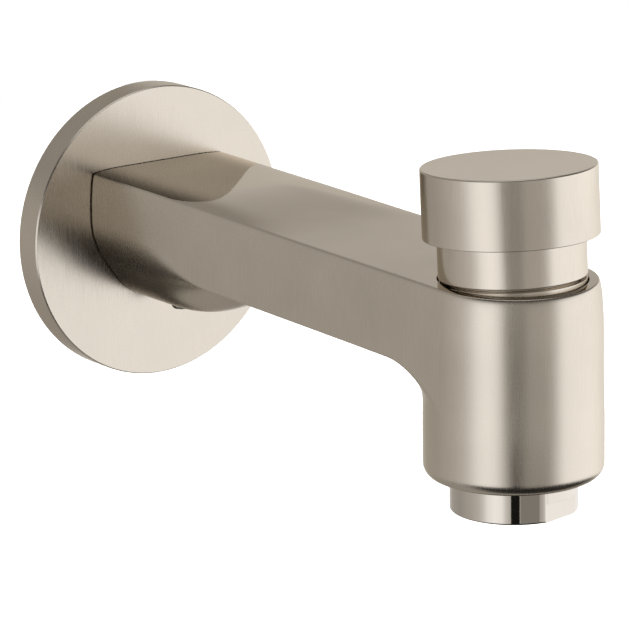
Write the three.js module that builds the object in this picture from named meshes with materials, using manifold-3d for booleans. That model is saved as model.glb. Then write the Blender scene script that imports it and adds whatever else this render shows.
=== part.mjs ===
// Wall mounted bath spout with a pull-up diverter knob.
// Millimetres, +Z up. The wall is the plane y = 0, the spout reaches out along -Y,
// and the origin is the centre of the wall flange's back face.

import * as THREE from 'three';
import { mergeVertices } from 'three/addons/utils/BufferGeometryUtils.js';
import Module from 'manifold-3d';

const wasm = await Module();
wasm.setup();

// ---- driving dimensions ----

const GAP = 0.3;                 // clearance between neighbouring pieces
const ROUND = 48;                // sides of the large round pieces
const SMALL = 28;                // sides of the small round pieces

const FLANGE_R = 39.2;
const FLANGE_T = 8.3;
const FLANGE_SKIN = 2.2;         // thickness of the flange's plate and rim

const REACH = 159.6;             // wall to the axis of the front body
const BODY_R = 22;               // front body, lower part
const SIDE_R = 21.8;             // arm's half width, and the front body behind the knob
const RIM_R = 20.5;              // crisp edge around the top of the front body
const RIM_Z = 16.1;              // top face at the front body's axis
const SIDE_ROUND = 14;           // height over which the sides draw in to the rim
const BODY_BOTTOM = -32.5;       // lower face of the front body
const BODY_EDGE = 3;             // rounding at the front body's lower edge
const TOP_SLOPE = 0.0153;        // the arm drops a little towards the front
const UNDER_Z = -4.9;            // underside of the arm at the front body's axis
const UNDER_SLOPE = 0.0207;      // the underside rises a little towards the wall
const UNDER_FILLET = 9;          // concave rounding between the arm and the front body

const BOSS_R = 17.85;            // round boss at the wall end
const BOSS_STRAIGHT = 25.5;      // it runs straight this far from the wall,
const BOSS_SWEEP = 52;           // then sweeps up into the arm with this radius
const CORNER_WALL_Z = 0;         // height of the arm's lower corner at the wall
const CORNER_WALL_R = 20;        // and its rounding there
const CORNER_R = 0.5;            // rounding of the lower corner further out
const SPIGOT_R = 15.2;           // tail of the boss inside the flange
const INLET_BORE_R = 12.3;
const INLET_DEPTH = 46;          // depth of the inlet bore from the wall
const TUBE_R = 8.05;             // socket for a half-inch copper tube, 15.9 mm across
const SCREW_Y = -18;             // set screw under the boss

const TILT = THREE.MathUtils.degToRad(3.09);   // diverter axis leans back to the wall
const TRAVEL = 8;                // how far the knob pulls up
const KNOB_R = 21.4;             // heights of the diverter are along its own axis,
const KNOB_LOW = 10.5;           // from the top face of the front body
const KNOB_TOP = 27.55;
const NECK_R = 18;
const NECK_LOW = 0.65;
const COLLAR_R = 17.9;           // bonnet's collar, just under the top face
const COLLAR_TOP = -0.1;
const GUIDE_R = 15.8;            // bonnet tube that the neck slides over
const THREAD_R = 15.3;
const SKIRT_R = 13;
const PISTON_BORE_R = 10.9;
const SKIRT_LOW = -19.5;
const WEB_LOW = 4.5;
const WEB_TOP = 8.5;
const STEM_R = 2.5;
const STEM_FLAT = 2;             // flat on the stem, keeps the knob from turning
const SEAT_LIP = -25;            // underside of the valve seat
const SEAT_HOLE_R = 8;
const DISC_R = 10.4;
const WASHER_TOP = SEAT_LIP - GAP - TRAVEL;

const RING_R = 15.65;            // outlet ring
const RING_LOW = -41.1;
const OUTLET_THREAD_R = 14;
const OUTLET_SHOULDER = -25.2;
const CHAMBER_R = 13.1;
const FLAT_DISTANCE = 14.67;     // wrench flats, from the outlet's axis
const FLAT_TOP = -36.3;
const FLAT_TURN = THREE.MathUtils.degToRad(-79);

const group = new THREE.Group();

// ---- solids ----

// One closed shell with merged vertices and its faces pointing out.
function closed(geometry) {
  const bare = geometry.index ? geometry.toNonIndexed() : geometry.clone();
  bare.deleteAttribute('normal');
  bare.deleteAttribute('uv');
  const merged = mergeVertices(bare, 1e-4);
  const position = merged.attributes.position;
  const index = merged.index.array;
  const kept = [];
  let volume = 0;
  const [a, b, c] = [new THREE.Vector3(), new THREE.Vector3(), new THREE.Vector3()];
  for (let i = 0; i < index.length; i += 3) {
    const [p, q, r] = [index[i], index[i + 1], index[i + 2]];
    if (p === q || q === r || r === p) continue;
    kept.push(p, q, r);
    a.fromBufferAttribute(position, p);
    b.fromBufferAttribute(position, q);
    c.fromBufferAttribute(position, r);
    volume += a.dot(b.cross(c));
  }
  if (volume < 0) kept.reverse();
  merged.setIndex(kept);
  return merged;
}

function solid(geometry) {
  const shell = closed(geometry);
  const vertProperties = new Float32Array(shell.attributes.position.array);
  const triVerts = new Uint32Array(shell.index.array);
  return new wasm.Manifold(new wasm.Mesh({ numProp: 3, vertProperties, triVerts }));
}

function geometryOf(manifold) {
  const mesh = manifold.getMesh();
  const geometry = new THREE.BufferGeometry();
  geometry.setAttribute('position', new THREE.BufferAttribute(mesh.vertProperties, 3));
  geometry.setIndex(new THREE.BufferAttribute(mesh.triVerts, 1));
  return geometry;
}

// A turned piece about Z: points are [radius, height].
function turned(points, sides = ROUND) {
  const profile = points.map(([r, z]) => new THREE.Vector2(r, z));
  return new THREE.LatheGeometry(profile, sides).rotateX(Math.PI / 2);
}

// A turned piece about Y: points are [radius, y].
function turnedOnWallAxis(points, sides = ROUND) {
  const profile = points.map(([r, y]) => new THREE.Vector2(r, y));
  return new THREE.LatheGeometry(profile, sides);
}

// Points of a rectangle's section, as a closed turned profile.
function band(inner, outer, low, high) {
  return [[inner, low], [outer, low], [outer, high], [inner, high], [inner, low]];
}

function plug(radius, low, high) {
  return [[0, low], [radius, low], [radius, high], [0, high]];
}

function arc(centreR, centreZ, radius, fromDegrees, toDegrees, steps) {
  const points = [];
  for (let i = 0; i <= steps; i++) {
    const turn = THREE.MathUtils.degToRad(fromDegrees + (toDegrees - fromDegrees) * i / steps);
    points.push([centreR + radius * Math.cos(turn), centreZ + radius * Math.sin(turn)]);
  }
  return points;
}

// An O-ring's section, closed on itself.
function cord(centreR, centreZ, radius) {
  const points = arc(centreR, centreZ, radius, 0, 315, 7);
  points.push(points[0]);
  return points;
}

function box(width, depth, height, x, y, z) {
  return new THREE.BoxGeometry(width, depth, height).translate(x, y, z);
}

// Straight rod or hole, upright.
function rod(radius, low, high, sides = SMALL) {
  return turned(plug(radius, low, high), sides);
}

function add(parent, name, geometry, look) {
  const material = new THREE.MeshStandardMaterial(look);
  const mesh = new THREE.Mesh(closed(geometry), material);
  mesh.name = name;
  parent.add(mesh);
  return mesh;
}

// ---- finishes ----

const nickel = { color: 0xb3a999, roughness: 0.28, metalness: 1 };
const polished = { color: 0xc9c2b6, roughness: 0.08, metalness: 1 };
const brass = { color: 0xb8924c, roughness: 0.35, metalness: 1 };
const steel = { color: 0x9a9ca0, roughness: 0.3, metalness: 1 };
const rubber = { color: 0x18181a, roughness: 0.75, metalness: 0 };
const foam = { color: 0x3a3a3c, roughness: 0.95, metalness: 0 };
const plastic = { color: 0xe6e4dd, roughness: 0.45, metalness: 0 };

// ---- shared body shape ----

const smooth = (t) => {
  const s = THREE.MathUtils.clamp(t, 0, 1);
  return s * s * (3 - 2 * s);
};

const topZ = (y) => RIM_Z + TOP_SLOPE * (y + REACH);
const underZ = (y) => UNDER_Z + UNDER_SLOPE * (y + REACH);

// Half width of the arm and the front body, by depth under the top face.
function sideAt(depth) {
  if (depth >= SIDE_ROUND) return SIDE_R;
  const t = 1 - depth / SIDE_ROUND;
  return SIDE_R - (SIDE_R - RIM_R) * (1 - Math.sqrt(1 - t * t));
}

// Height of the arm's top face. Towards the wall it lifts a little and its edges roll off.
function crownZ(x, y) {
  const roll = 1 - smooth((-y - 50) / 50);
  return topZ(y) + roll * (0.8 - 0.6 * Math.max((x - 8) / 12.5, 0) ** 4);
}

// The lesser of two heights, with a rounded change from one to the other.
function softMin(a, b, width) {
  const share = THREE.MathUtils.clamp(0.5 + (b - a) / (2 * width), 0, 1);
  return THREE.MathUtils.lerp(b, a, share) - width * share * (1 - share);
}

// Centre of the boss's circle, which lifts as the boss sweeps up into the arm.
function bossZ(y, cornerZ) {
  const run = THREE.MathUtils.clamp(-y - BOSS_STRAIGHT, 0, BOSS_SWEEP * 0.8);
  const sweep = BOSS_SWEEP - Math.sqrt(BOSS_SWEEP ** 2 - run ** 2);
  return softMin(sweep, cornerZ + BOSS_R, 5);
}

// Half of one section of the arm, from the top's centre round to the lowest point.
function halfSection(y) {
  const points = [];
  for (const share of [0, 0.3, 0.5, 0.65, 0.8, 0.91, 1]) {
    points.push([RIM_R * share, crownZ(RIM_R * share, y)]);
  }
  const edgeZ = crownZ(RIM_R, y);

  // Lower corner: high and well rounded at the wall, low and crisp further out.
  const drop = smooth((-y - FLANGE_T) / 44);
  const cornerZ = THREE.MathUtils.lerp(CORNER_WALL_Z, underZ(y), drop);
  const sharpen = smooth((-y - 22) / 38);
  const cornerR = THREE.MathUtils.lerp(CORNER_WALL_R, CORNER_R, sharpen);

  // From it a straight line runs on, tangent to the boss's circle.
  const centreZ = bossZ(y, cornerZ);
  const [dx, dz] = [SIDE_R, cornerZ - centreZ];
  const touch = Math.atan2(dz, dx) - Math.acos(Math.min(BOSS_R / Math.hypot(dx, dz), 1));
  const arcZ = cornerZ + cornerR * Math.tan(-touch / 2);
  for (const share of [0.03, 0.08, 0.15, 0.24, 0.36, 0.5, 0.68, 0.86]) {
    const depth = (edgeZ - arcZ) * share;
    points.push([sideAt(depth), edgeZ - depth]);
  }
  const corner = arc(SIDE_R - cornerR, arcZ, cornerR, 0, THREE.MathUtils.radToDeg(touch), 5);
  const under = arc(0, centreZ, BOSS_R, THREE.MathUtils.radToDeg(touch), -90, 11);
  return [...points, ...corner, ...under];
}

// The whole section, round from the lowest point by the right, the top and the left.
function wholeSection(y) {
  const right = halfSection(y);
  const left = right.slice(1, -1).map(([x, z]) => [-x, z]);
  return [...right.reverse(), ...left];
}

// A solid through matching sections at a list of distances from the wall.
function loft(sectionAt, stations) {
  const count = sectionAt(-stations[0]).length;
  const shape = new THREE.Shape();
  for (let i = 0; i < count; i++) {
    const turn = 2 * Math.PI * i / count;
    if (i === 0) shape.moveTo(1, 0);
    else shape.lineTo(Math.cos(turn), Math.sin(turn));
  }
  const steps = stations.length - 1;
  const geometry = new THREE.ExtrudeGeometry(shape, { depth: steps, steps, bevelEnabled: false });
  const sections = stations.map((out) => sectionAt(-out));
  const position = geometry.attributes.position;
  for (let v = 0; v < position.count; v++) {
    const turn = Math.atan2(position.getY(v), position.getX(v));
    const i = (Math.round(turn / (2 * Math.PI) * count) + count) % count;
    const k = Math.round(position.getZ(v));
    const [x, z] = sections[k][i];
    position.setXYZ(v, x, -stations[k], z);
  }
  return geometry;
}

const tilted = new THREE.Matrix4().makeRotationX(-TILT).setPosition(0, -REACH, RIM_Z);
const onTilt = (geometry) => geometry.applyMatrix4(tilted);
const onOutlet = (geometry) => geometry.translate(0, -REACH, 0);

// ---- wall end ----

function escutcheon() {
  const front = -FLANGE_T;
  const edge = 0.5;
  const hole = SPIGOT_R + 0.4;
  const inside = FLANGE_R - FLANGE_SKIN;
  return turnedOnWallAxis([
    [hole, front], [FLANGE_R - edge, front], [FLANGE_R - edge * 0.3, front + edge * 0.3],
    [FLANGE_R, front + edge], [FLANGE_R, 0], [inside, 0],
    [inside, front + FLANGE_SKIN], [hole, front + FLANGE_SKIN], [hole, front],
  ], 64);
}

function escutcheonGasket() {
  const back = -0.2;
  const front = -FLANGE_T + FLANGE_SKIN + GAP;
  const outer = FLANGE_R - FLANGE_SKIN - GAP;
  return turnedOnWallAxis(band(outer - 4, outer, front, back), ROUND);
}

function inletAdapter() {
  const outer = INLET_BORE_R - GAP;
  const groove = 9.6;
  return turnedOnWallAxis([
    [TUBE_R, -1.5], [outer, -1.5], [outer, SCREW_Y + 3.5], [10.8, SCREW_Y + 3.1],
    [10.8, SCREW_Y - 3.1], [outer, SCREW_Y - 3.5], [outer, -27], [groove, -27],
    [groove, -30], [outer, -30], [outer, -34], [groove, -34], [groove, -37],
    [outer, -37], [outer, -41.2], [outer - 0.8, -42], [6.5, -42], [6.5, -38],
    [TUBE_R, -38], [TUBE_R, -1.5],
  ], SMALL);
}

function setScrew() {
  const shank = solid(turned([
    [0, -19.3], [2.55, -19.3], [2.85, -19], [2.85, -12.3], [1.7, -11.1], [0, -11.1],
  ], 24));
  const socket = solid(rod(1.73, -21, -16.3, 6));
  return geometryOf(shank.subtract(socket)).translate(0, SCREW_Y, 0);
}

// ---- spout body ----

function frontBody() {
  const profile = [
    [0, BODY_BOTTOM],
    ...arc(BODY_R - BODY_EDGE, BODY_BOTTOM + BODY_EDGE, BODY_EDGE, -90, 0, 6),
    [BODY_R, -17], [SIDE_R, -5],
  ];
  for (let i = 0; i <= 8; i++) {
    const depth = SIDE_ROUND * [1, 0.86, 0.68, 0.5, 0.34, 0.2, 0.1, 0.04, 0][i];
    profile.push([sideAt(depth), RIM_Z - depth]);
  }
  profile.push([0, RIM_Z]);
  const geometry = turned(profile, 64);
  // The top leans with the arm's top face, the rest stays upright.
  const position = geometry.attributes.position;
  for (let v = 0; v < position.count; v++) {
    const z = position.getZ(v);
    const share = smooth((z + 5) / (RIM_Z + 5));
    position.setZ(v, z + TOP_SLOPE * position.getY(v) * share);
  }
  return solid(onOutlet(geometry));
}

function arm() {
  const stations = [FLANGE_T + GAP, 14, 20, 26, 31, 36, 41, 46, 51, 56, 61, 66, 72, 82, 100, 130, REACH];
  return solid(loft(wholeSection, stations));
}

// Concave rounding between the arm's underside and the front body.
function underFillet() {
  const outer = BODY_R - 0.1 + UNDER_FILLET;
  const geometry = turned([
    [0, UNDER_Z - UNDER_FILLET - 4], [BODY_R - 0.1, UNDER_Z - UNDER_FILLET - 4],
    ...arc(outer, UNDER_Z - UNDER_FILLET, UNDER_FILLET, 180, 90, 10),
    [outer, UNDER_Z + 3], [0, UNDER_Z + 3],
  ], 64);
  const position = geometry.attributes.position;
  for (let v = 0; v < position.count; v++) {
    position.setZ(v, position.getZ(v) + UNDER_SLOPE * position.getY(v));
  }
  const rear = solid(box(2 * SIDE_R, 60, 60, 0, 30, UNDER_Z));
  return solid(geometry).intersect(rear).translate([0, -REACH, 0]);
}

// Everything that is bored or cast out of the body.
function bodyHollows() {
  const inlet = solid(turnedOnWallAxis(plug(INLET_BORE_R, -INLET_DEPTH, 1), ROUND));
  const channelEnd = REACH - 12;
  const channel = solid(box(26, channelEnd - 40, 12, 0, -(channelEnd + 40) / 2, 6.5));
  const bonnetSeat = solid(onTilt(turned(plug(COLLAR_R + GAP, -3, 6))));
  const bore = solid(onTilt(turned(plug(THREAD_R + GAP, -24.8, -2), SMALL)));
  const seatHole = solid(onTilt(turned(plug(12.3, -32, -24), SMALL)));
  const chamber = solid(onOutlet(turned(plug(CHAMBER_R, BODY_BOTTOM - 1, -12), SMALL)));
  const outlet = solid(onOutlet(turned(
    plug(OUTLET_THREAD_R + GAP, BODY_BOTTOM - 1, OUTLET_SHOULDER), SMALL)));
  const screwHole = solid(rod(3.15, -25, -10, 24).translate(0, SCREW_Y, 0));
  return [inlet, channel, bonnetSeat, bore, seatHole, chamber, outlet, screwHole];
}

function spoutBody() {
  const spigot = solid(turnedOnWallAxis(plug(SPIGOT_R, -FLANGE_T - 2, -1), ROUND));
  let body = arm().add(frontBody()).add(underFillet()).add(spigot);
  for (const hollow of bodyHollows()) body = body.subtract(hollow);
  return geometryOf(body);
}

// ---- diverter, heights along its own axis ----

function bonnet() {
  return turned([
    [PISTON_BORE_R, SKIRT_LOW], [SKIRT_R, SKIRT_LOW], [SKIRT_R, -9], [THREAD_R, -9],
    [THREAD_R, -7.4], [12.9, -7.4], [12.9, -4.4], [THREAD_R, -4.4], [THREAD_R, -2.7],
    [COLLAR_R, -2.7], [COLLAR_R, COLLAR_TOP], [GUIDE_R, COLLAR_TOP], [GUIDE_R, WEB_TOP - 0.5],
    [GUIDE_R - 0.5, WEB_TOP], [5, WEB_TOP], [5, WEB_LOW], [PISTON_BORE_R, WEB_LOW],
    [PISTON_BORE_R, SKIRT_LOW],
  ]);
}

function stemBush() {
  const outside = solid(turned([
    [0, WEB_LOW], [4.7, WEB_LOW], [4.7, WEB_TOP + GAP], [6.5, WEB_TOP + GAP],
    [6.5, WEB_TOP + 1.2], [0, WEB_TOP + 1.2],
  ], SMALL));
  const flat = STEM_FLAT + GAP;
  const hole = solid(rod(STEM_R + GAP, 0, 12)).subtract(solid(box(4, 8, 30, flat + 2, 0, 6)));
  return geometryOf(outside.subtract(hole));
}

function stem() {
  const shaft = solid(turned([
    [0, -41.3], [STEM_R - 0.4, -41.3], [STEM_R, -40.9], [STEM_R, -33], [5.5, -33],
    [5.5, -31.5], [STEM_R, -31.5], [STEM_R, -21], [4.5, -21], [4.5, -19.1],
    [STEM_R, -19.1], [STEM_R, 19.6], [STEM_R - 0.4, 20], [0, 20],
  ], SMALL));
  const flat = solid(box(4, 8, 40, STEM_FLAT + 2, 0, 10));
  return geometryOf(shaft.subtract(flat));
}

function piston() {
  const outer = PISTON_BORE_R - GAP;
  const hole = STEM_R + GAP;
  return turned([
    [hole, -18.8], [outer - 0.4, -18.8], [outer, -18.4], [outer, -17.55], [8.4, -17.55],
    [8.4, -15.05], [outer, -15.05], [outer, -14.2], [outer - 0.4, -13.8], [hole, -13.8],
    [hole, -18.8],
  ], SMALL);
}

// Round wire spring between the piston and the bonnet's web.
class Helix extends THREE.Curve {
  constructor(radius, low, high, turns) {
    super();
    Object.assign(this, { radius, low, high, turns });
  }

  getPoint(t, target = new THREE.Vector3()) {
    const turn = 2 * Math.PI * this.turns * t;
    const z = THREE.MathUtils.lerp(this.low, this.high, t);
    return target.set(this.radius * Math.cos(turn), this.radius * Math.sin(turn), z);
  }
}

function spring() {
  const wire = 0.55;
  const turns = 6.5;
  const path = new Helix(8.8, -13.5 + wire, WEB_LOW - GAP - wire, turns);
  const section = new THREE.Shape().absarc(0, 0, wire, 0, 2 * Math.PI);
  const options = { steps: 12 * turns, extrudePath: path, curveSegments: 3 };
  return new THREE.ExtrudeGeometry(section, options);
}

function valveSeat() {
  const top = SEAT_LIP + 3;
  const ring = solid(turned([
    [SEAT_HOLE_R, SEAT_LIP], [9.6, SEAT_LIP], [9.6, SEAT_LIP + 0.5], [THREAD_R, SEAT_LIP + 0.5],
    [THREAD_R, top], [SEAT_HOLE_R + 1, top], [SEAT_HOLE_R, top - 1], [SEAT_HOLE_R, SEAT_LIP],
  ]));
  const slot = solid(box(40, 2.4, 1.2, 0, 0, top));
  return geometryOf(ring.subtract(slot));
}

function valveWasher() {
  return turned(band(3.2, DISC_R, WASHER_TOP - 1.7, WASHER_TOP), SMALL);
}

function valveDisc() {
  const top = WASHER_TOP - 1.7 - GAP;
  return turned([
    [STEM_R + GAP, top - 2.5], [7, top - 2.5], [DISC_R, top - 1.2], [DISC_R, top],
    [STEM_R + GAP, top], [STEM_R + GAP, top - 2.5],
  ], SMALL);
}

function valveNut() {
  const top = WASHER_TOP - 4.5 - 2 * GAP;
  const nut = solid(rod(4.5, top - 2.4, top, 6));
  return geometryOf(nut.subtract(solid(rod(STEM_R + GAP, top - 4, top + 1, 24))));
}

function knobSleeve() {
  const shoulder = KNOB_LOW - GAP;
  const sleeve = solid(turned([
    [GUIDE_R + GAP, NECK_LOW], [NECK_R - 0.3, NECK_LOW], [NECK_R, NECK_LOW + 0.3],
    [NECK_R, shoulder], [16.9, shoulder], [16.9, 16.6], [6, 16.6], [6, 12],
    [GUIDE_R + GAP, 12], [GUIDE_R + GAP, NECK_LOW],
  ]));
  const dimple = solid(rod(2.2, 15.9, 18, 20).rotateX(-Math.PI / 2).translate(0, 0, 14.2));
  return geometryOf(sleeve.subtract(dimple));
}

function knobCap() {
  const edge = 0.45;
  const cap = solid(turned([
    [17.2, KNOB_LOW], [KNOB_R - 0.2, KNOB_LOW], [KNOB_R, KNOB_LOW + 0.2],
    ...arc(KNOB_R - edge, KNOB_TOP - edge, edge, 0, 90, 4),
    [0, KNOB_TOP], [0, 22.4], [9.2, 22.4], [9.2, 16.9], [17.2, 16.9], [17.2, KNOB_LOW],
  ], 56));
  const hole = solid(rod(2.2, 10, 25, 20).rotateX(-Math.PI / 2).translate(0, 0, 14.2));
  return geometryOf(cap.subtract(hole));
}

function knobInsert() {
  return turned([
    [STEM_R + GAP, 10], [5.7, 10], [5.7, 16.9], [8.8, 16.9], [8.8, 19.5], [5.7, 19.5],
    [5.7, 22], [0, 22], [0, 20.3], [STEM_R + GAP, 20.3], [STEM_R + GAP, 10],
  ], SMALL);
}

function knobGrubScrew() {
  const shank = solid(turned([
    [0, 16.2], [1.2, 16.2], [1.9, 16.9], [1.9, 20.4], [1.7, 20.6], [0, 20.6],
  ], 20));
  const socket = solid(rod(1.15, 18.6, 22, 6));
  return geometryOf(shank.subtract(socket)).rotateX(-Math.PI / 2).translate(0, 0, 14.2);
}

// ---- outlet, heights as in the whole frame ----

function aeratorHousing() {
  const ringTop = BODY_BOTTOM - GAP;
  const edge = 0.4;
  const ring = solid(turned([
    [10.8, RING_LOW], [RING_R - edge, RING_LOW], [RING_R, RING_LOW + edge], [RING_R, ringTop],
    [OUTLET_THREAD_R, ringTop], [OUTLET_THREAD_R, -28], [OUTLET_THREAD_R - 0.5, -27.5],
    [12.2, -27.5], [12.2, -38.6], [10.8, -38.6], [10.8, RING_LOW],
  ]));
  const height = FLAT_TOP - RING_LOW + 1;
  const cutter = box(4, 40, height, FLAT_DISTANCE + 2, 0, FLAT_TOP - height / 2);
  const one = solid(cutter.clone().rotateZ(FLAT_TURN));
  const other = solid(cutter.rotateZ(FLAT_TURN + Math.PI));
  return geometryOf(ring.subtract(one).subtract(other));
}

function aeratorWasher() {
  return turned(band(11.5, OUTLET_THREAD_R, -27.2, OUTLET_SHOULDER - GAP), SMALL);
}

// Flow straightener: a plug with square channels.
function aeratorInsert() {
  const [low, high] = [-37, -30.5];
  const [pitch, channel] = [4, 3.1];
  let whole = solid(turned(plug(11.9, low, high), SMALL));
  for (let row = -2; row <= 2; row++) {
    for (let column = -2; column <= 2; column++) {
      const [x, y] = [column * pitch, row * pitch];
      if (Math.abs(row * column) === 4) continue;
      whole = whole.subtract(solid(box(channel, channel, 20, x, y, low)));
    }
  }
  return geometryOf(whole);
}

// Perforated disc at the mouth.
function aeratorScreen() {
  let disc = solid(turned(plug(11.9, -38.3, -37.3), SMALL));
  const pitch = 3.1;
  for (let row = -3; row <= 3; row++) {
    for (let column = -3; column <= 3; column++) {
      const x = (column + (row % 2 ? 0.5 : 0)) * pitch;
      const y = row * pitch * Math.sqrt(3) / 2;
      if (Math.hypot(x, y) > 9) continue;
      disc = disc.subtract(solid(rod(1.15, -39, -36, 6).translate(x, y, 0)));
    }
  }
  return geometryOf(disc);
}

// ---- assembly ----

add(group, 'escutcheon', escutcheon(), nickel);
add(group, 'escutcheon_gasket', escutcheonGasket(), foam);
add(group, 'spout_body', spoutBody(), nickel);
add(group, 'inlet_adapter', inletAdapter(), brass);
const inletRing = turnedOnWallAxis(cord(10.95, 0, 1.05), SMALL);
add(group, 'inlet_o_ring_rear', inletRing, rubber).position.y = -28.5;
add(group, 'inlet_o_ring_front', inletRing, rubber).position.y = -35.5;
add(group, 'set_screw', setScrew(), steel);

const diverter = new THREE.Group();
diverter.position.set(0, -REACH, RIM_Z);
diverter.rotation.x = -TILT;
group.add(diverter);
add(diverter, 'bonnet', bonnet(), nickel);
add(diverter, 'bonnet_o_ring', turned(cord(14.25, -5.9, 1.05), SMALL), rubber);
add(diverter, 'stem_bush', stemBush(), plastic);
add(diverter, 'valve_seat', valveSeat(), brass);
add(diverter, 'diverter_spring', spring(), steel);
add(diverter, 'diverter_stem', stem(), brass);
add(diverter, 'piston', piston(), plastic);
add(diverter, 'piston_o_ring', turned(cord(9.65, -16.3, 0.95), SMALL), rubber);
add(diverter, 'valve_washer', valveWasher(), rubber);
add(diverter, 'valve_disc', valveDisc(), brass);
add(diverter, 'valve_nut', valveNut(), brass);
add(diverter, 'knob_sleeve', knobSleeve(), nickel);
add(diverter, 'knob_cap', knobCap(), nickel);
add(diverter, 'knob_insert', knobInsert(), plastic);
add(diverter, 'knob_grub_screw', knobGrubScrew(), steel);

const outlet = new THREE.Group();
outlet.position.y = -REACH;
group.add(outlet);
add(outlet, 'aerator_housing', aeratorHousing(), polished);
add(outlet, 'aerator_washer', aeratorWasher(), rubber);
add(outlet, 'aerator_insert', aeratorInsert(), plastic);
add(outlet, 'aerator_screen', aeratorScreen(), plastic);

export default group;
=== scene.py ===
"""Looks of a wall mounted bath spout with a pull-up diverter knob.

Shapes are worked out in millimetres and built in metres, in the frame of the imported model:
the wall is the plane y = 0, the spout reaches out along -Y, and +Z is up.
"""

import math

import bmesh
import bpy
from mathutils import Matrix, Vector


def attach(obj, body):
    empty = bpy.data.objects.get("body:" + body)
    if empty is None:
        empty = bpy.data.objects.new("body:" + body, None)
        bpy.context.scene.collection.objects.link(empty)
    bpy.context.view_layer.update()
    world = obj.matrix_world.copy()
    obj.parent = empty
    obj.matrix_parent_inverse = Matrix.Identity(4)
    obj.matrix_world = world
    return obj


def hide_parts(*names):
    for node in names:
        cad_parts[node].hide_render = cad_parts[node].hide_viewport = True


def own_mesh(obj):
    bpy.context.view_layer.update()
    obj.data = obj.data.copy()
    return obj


MM = 0.001
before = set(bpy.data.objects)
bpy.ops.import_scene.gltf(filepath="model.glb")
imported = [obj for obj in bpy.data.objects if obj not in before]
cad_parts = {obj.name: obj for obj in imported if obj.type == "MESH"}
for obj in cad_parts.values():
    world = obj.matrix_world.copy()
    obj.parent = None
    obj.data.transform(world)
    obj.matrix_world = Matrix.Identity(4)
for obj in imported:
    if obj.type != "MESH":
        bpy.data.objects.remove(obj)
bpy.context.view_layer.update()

# ---- driving dimensions, mm ----

GAP = 0.3
FLANGE_R = 39.2
FLANGE_T = 8.3
FLANGE_SKIN = 2.2            # thickness of the flange's plate and rim
REACH = 159.6                # wall to the axis of the front body
SIDE_R = 21.8                # arm's half width
BODY_R = 22.0                # front body, lower part
RIM_R = 20.5                 # crisp edge round the top face
RIM_Z = 16.1                 # top face at the front body's axis
SIDE_ROUND = 14.0            # height over which the sides draw in to the rim
BODY_BOTTOM = -32.5
BODY_EDGE = 3.0
TOP_SLOPE = 0.0153           # the top face drops a little towards the front
CROWN_LIFT = 0.8             # the top face lifts by this much at the wall,
CROWN_DROP = 0.6             # and its edges roll off by this much,
CROWN_FLAT = 8.0             # outside the middle of this half width
UNDER_Z = -4.9
UNDER_SLOPE = 0.0207
UNDER_FILLET = 9.0           # concave rounding between the arm and the front body
LOWER_EDGE = 0.6             # rounding of the lower edge along the arm,
FRONT_EDGE = 1.3             # and where it melts into the front body
BOSS_R = 17.85
BOSS_STRAIGHT = 25.5         # the boss runs straight this far from the wall,
BOSS_SWEEP = 52.0            # then sweeps up into the arm with this radius
CORNER_WALL_Z = 0.0          # height of the arm's lower corner at the wall,
CORNER_WALL_R = 20.0         # its rounding there,
CORNER_R = 0.5               # and further out
SPIGOT_R = 15.2              # tail of the boss inside the flange
INLET_R = 12.3
INLET_DEPTH = 46.0
SCREW_Y = -18.0
SCREW_HOLE_R = 3.15
TILT = math.radians(3.09)    # the diverter's axis leans back to the wall
HOLE_R = 18.35               # mouth of the bonnet's seat in the top face
SEAT_R = 18.2                # bonnet's seat
THREAD_R = 15.6              # bore that the bonnet screws into
BORE_LOW = -24.8
KNOB_R = 21.4
KNOB_LOW = 10.5
KNOB_TOP = 27.55
NECK_R = 18.0
GRUB_H = 14.2
GRUB_R = 2.2                 # hole for the grub screw
SPRING_LOW = -13.5
SPRING_HIGH = 4.2
RING_R = 15.65
RING_LOW = -41.1
OUTLET_SHOULDER = -25.2
SCREEN_R = 11.9
FLAT_R = 14.67               # wrench flats, from the outlet's axis
FLAT_TOP = -36.3
FLAT_TURN = math.radians(-79)

WALL_AXIS = Matrix.Rotation(-math.pi / 2, 4, "X")
DIVERTER = Matrix.Translation((0, -REACH, RIM_Z)) @ Matrix.Rotation(-TILT, 4, "X")
OUTLET = Matrix.Translation((0, -REACH, 0))


# ---- mesh helpers ----

WELD = 2e-6                  # metres
SHARP_ANGLE = 35             # degrees
ARC_STEPS = 6


def lerp(a, b, t):
    return a + (b - a) * t


def smooth(t):
    t = min(max(t, 0.0), 1.0)
    return t * t * (3 - 2 * t)


def soft_min(a, b, width):
    """The lesser of two, with a rounded change from one to the other."""
    share = min(max(0.5 + (b - a) / (2 * width), 0), 1)
    return lerp(b, a, share) - width * share * (1 - share)


class Shell:
    """Quads between rows of points, welded into one closed mesh."""

    def __init__(self):
        self.mesh = bmesh.new()

    def grid(self, rows, ring=False):
        """Joins each row to the next; with ring, each row's end to its start as well."""
        made = [[self.mesh.verts.new(Vector(p) * MM) for p in row] for row in rows]
        for low, high in zip(made, made[1:]):
            count = len(low) if ring else len(low) - 1
            for i in range(count):
                j = (i + 1) % len(low)
                self.mesh.faces.new((low[i], low[j], high[j], high[i]))
        return self

    def build(self, name):
        bmesh.ops.remove_doubles(self.mesh, verts=self.mesh.verts, dist=WELD)
        bmesh.ops.dissolve_degenerate(self.mesh, edges=self.mesh.edges, dist=1e-7)
        bmesh.ops.recalc_face_normals(self.mesh, faces=self.mesh.faces)
        data = bpy.data.meshes.new(name)
        self.mesh.to_mesh(data)
        self.mesh.free()
        piece = bpy.data.objects.new(name, data)
        bpy.context.scene.collection.objects.link(piece)
        return piece


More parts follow.
